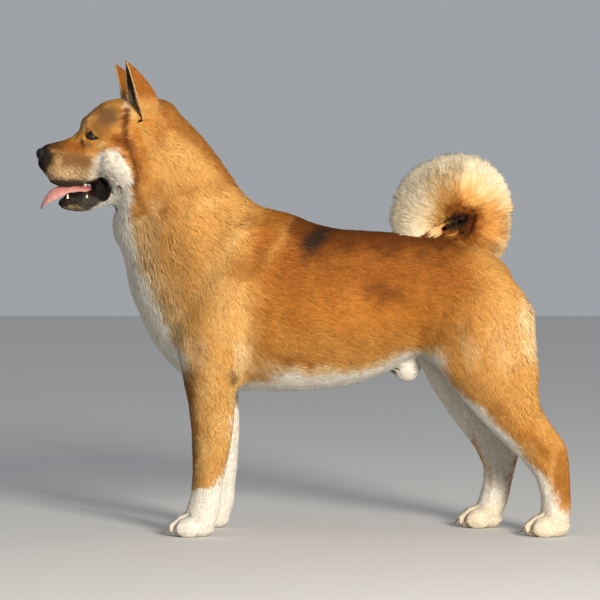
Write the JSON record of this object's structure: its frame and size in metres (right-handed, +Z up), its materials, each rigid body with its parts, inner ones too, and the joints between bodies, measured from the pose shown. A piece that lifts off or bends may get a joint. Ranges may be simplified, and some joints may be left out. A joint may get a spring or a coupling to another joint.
{
  "type": "standing dog model",
  "caption": "Life-size model of a male Akita dog standing side on, mouth open, ears up and tail curled over its back, in a thick red coat with cream-white markings.",
  "frame": {"origin": "on the floor under the middle of the bounding box", "axes": "+Z up; the dog faces -X, and its left side is towards -Y"},
  "size_m": [1.0942, 0.2914, 0.969],
  "materials": {
    "coat_red": "dense red-orange fur, matt",
    "coat_cream": "dense cream-white fur, matt",
    "nose_leather": "moist black nose leather",
    "tongue_flesh": "moist pink",
    "eye_brown": "glossy dark brown glass-like eye",
    "claw_horn": "horn, satin"
  },
  "bodies": {
    "root": {"chest": "coat_red", "loin": "coat_red", "rump": "coat_red", "neck": "coat_red", "head": "coat_red", "ear_left": "coat_red", "ear_right": "coat_red", "thigh_left": "coat_red", "thigh_right": "coat_red", "shank_left": "coat_red", "shank_right": "coat_red", "foreleg_left_upper": "coat_red", "foreleg_left_lower": "coat_red", "foreleg_right_upper": "coat_red", "foreleg_right_lower": "coat_red", "jaw": "coat_cream", "tail_base": "coat_cream", "tail_tip": "coat_cream", "forepaw_left": "coat_cream", "forepaw_right": "coat_cream", "hindfoot_left": "coat_cream", "hindfoot_right": "coat_cream", "nose": "nose_leather", "tongue": "tongue_flesh", "eye_left": "eye_brown", "dewclaw_left": "claw_horn", "foreclaw_left_1": "claw_horn", "foreclaw_left_2": "claw_horn", "foreclaw_left_3": "claw_horn", "foreclaw_left_4": "claw_horn", "hindclaw_left_1": "claw_horn", "hindclaw_left_2": "claw_horn", "hindclaw_left_3": "claw_horn", "hindclaw_left_4": "claw_horn", "eye_right": "eye_brown", "dewclaw_right": "claw_horn", "foreclaw_right_1": "claw_horn", "foreclaw_right_2": "claw_horn", "foreclaw_right_3": "claw_horn", "foreclaw_right_4": "claw_horn", "hindclaw_right_1": "claw_horn", "hindclaw_right_2": "claw_horn", "hindclaw_right_3": "claw_horn", "hindclaw_right_4": "claw_horn"}
  },
  "joints": []
}
